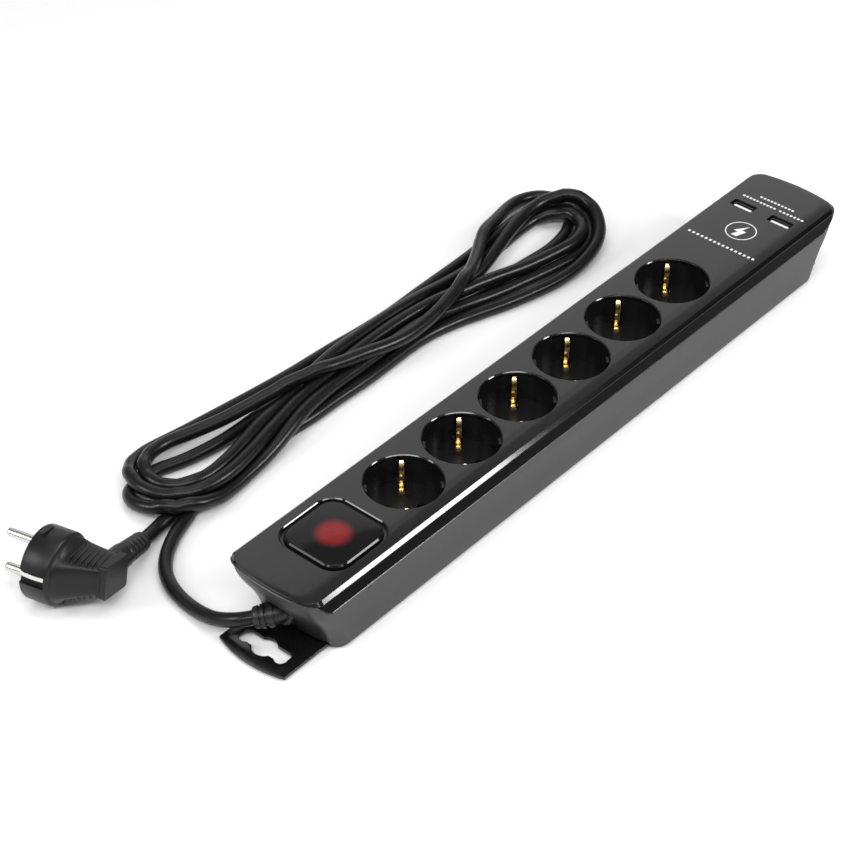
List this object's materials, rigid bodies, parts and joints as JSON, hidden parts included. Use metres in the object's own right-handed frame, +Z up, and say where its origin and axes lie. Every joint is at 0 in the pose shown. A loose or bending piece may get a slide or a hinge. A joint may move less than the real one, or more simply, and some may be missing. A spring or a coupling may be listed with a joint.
{
  "type": "power strip",
  "caption": "Long black power strip with round earthed sockets, an illuminated push button, USB ports, slide-out wall hangers and a folded mains lead with an angled plug.",
  "frame": {"origin": "middle of the flat underside of the strip", "axes": "+X along the strip towards the USB end, +Y towards the side where the folded lead lies, +Z up through the socket face"},
  "size_m": [0.4993, 0.1765, 0.0414],
  "materials": {
    "gloss_black": "polished black plastic",
    "smoked_black": "polished, lit red from behind in the middle",
    "satin_black": "finely grained satin black plastic",
    "matt_black": "soft matt black moulding",
    "cord_black": "satin black flexible sheath",
    "brass": "bright stamped brass",
    "steel": "zinc-plated steel",
    "nickel": "bright nickel plating",
    "white_plastic": "plain white plastic",
    "grey_plastic": "plain grey plastic",
    "red_lens": "translucent red",
    "board_green": "green circuit board",
    "ferrite": "dull dark grey",
    "varistor_blue": "blue dipped coating",
    "wire_brown": "brown insulation",
    "wire_blue": "blue insulation",
    "wire_green": "green and yellow insulation"
  },
  "bodies": {
    "strip": {"bottom_housing": "satin_black", "button_guide": "satin_black", "button_spring": "steel", "clamp_screw_1": "steel", "clamp_screw_2": "steel", "cord_clamp": "grey_plastic", "cord_gland": "matt_black", "cord_hank": "cord_black", "cord_lead": "cord_black", "cord_sheath_end": "cord_black", "cord_tail": "cord_black", "earth_clip_1": "brass", "earth_clip_2": "brass", "earth_clip_3": "brass", "earth_clip_4": "brass", "earth_clip_5": "brass", "earth_clip_6": "brass", "earth_rail": "brass", "earth_wire": "wire_green", "housing_screw_1": "steel", "housing_screw_2": "steel", "housing_screw_3": "steel", "housing_screw_4": "steel", "housing_screw_5": "steel", "housing_screw_6": "steel", "indicator_lamp": "red_lens", "live_rail": "brass", "live_wire": "wire_brown", "neutral_rail": "brass", "neutral_wire": "wire_blue", "plug_body": "matt_black", "plug_boot": "matt_black", "plug_earth_contact_1": "nickel", "plug_earth_contact_2": "nickel", "plug_pin_1": "nickel", "plug_pin_2": "nickel", "socket_well_1": "gloss_black", "socket_well_2": "gloss_black", "socket_well_3": "gloss_black", "socket_well_4": "gloss_black", "socket_well_5": "gloss_black", "socket_well_6": "gloss_black", "surge_board": "board_green", "switch_body": "grey_plastic", "top_cover": "gloss_black", "usb_board": "board_green", "usb_capacitor": "grey_plastic", "usb_port_1": "nickel", "usb_port_2": "nickel", "usb_tongue_1": "white_plastic", "usb_tongue_2": "white_plastic", "usb_transformer": "ferrite", "varistor_1": "varistor_blue", "varistor_2": "varistor_blue", "varistor_3": "varistor_blue"},
    "button": {"button_cap": "smoked_black", "button_lens": "red_lens", "switch_plunger": "white_plastic"},
    "near_hanger": {"near_bracket": "satin_black"},
    "far_hanger": {"far_bracket": "satin_black"}
  },
  "joints": [
    {"name": "button_press", "type": "slide", "parent": "strip", "child": "button", "axis": [0, 0, -1], "range_m": [0, 0.003], "stiffness_N_per_m": 900, "deforming": ["button_spring"]},
    {"name": "near_hanger_slide", "type": "slide", "parent": "strip", "child": "near_hanger", "axis": [1, 0, 0], "range_m": [0, 0.02]},
    {"name": "far_hanger_slide", "type": "slide", "parent": "strip", "child": "far_hanger", "axis": [1, 0, 0], "range_m": [0, 0.02]}
  ]
}
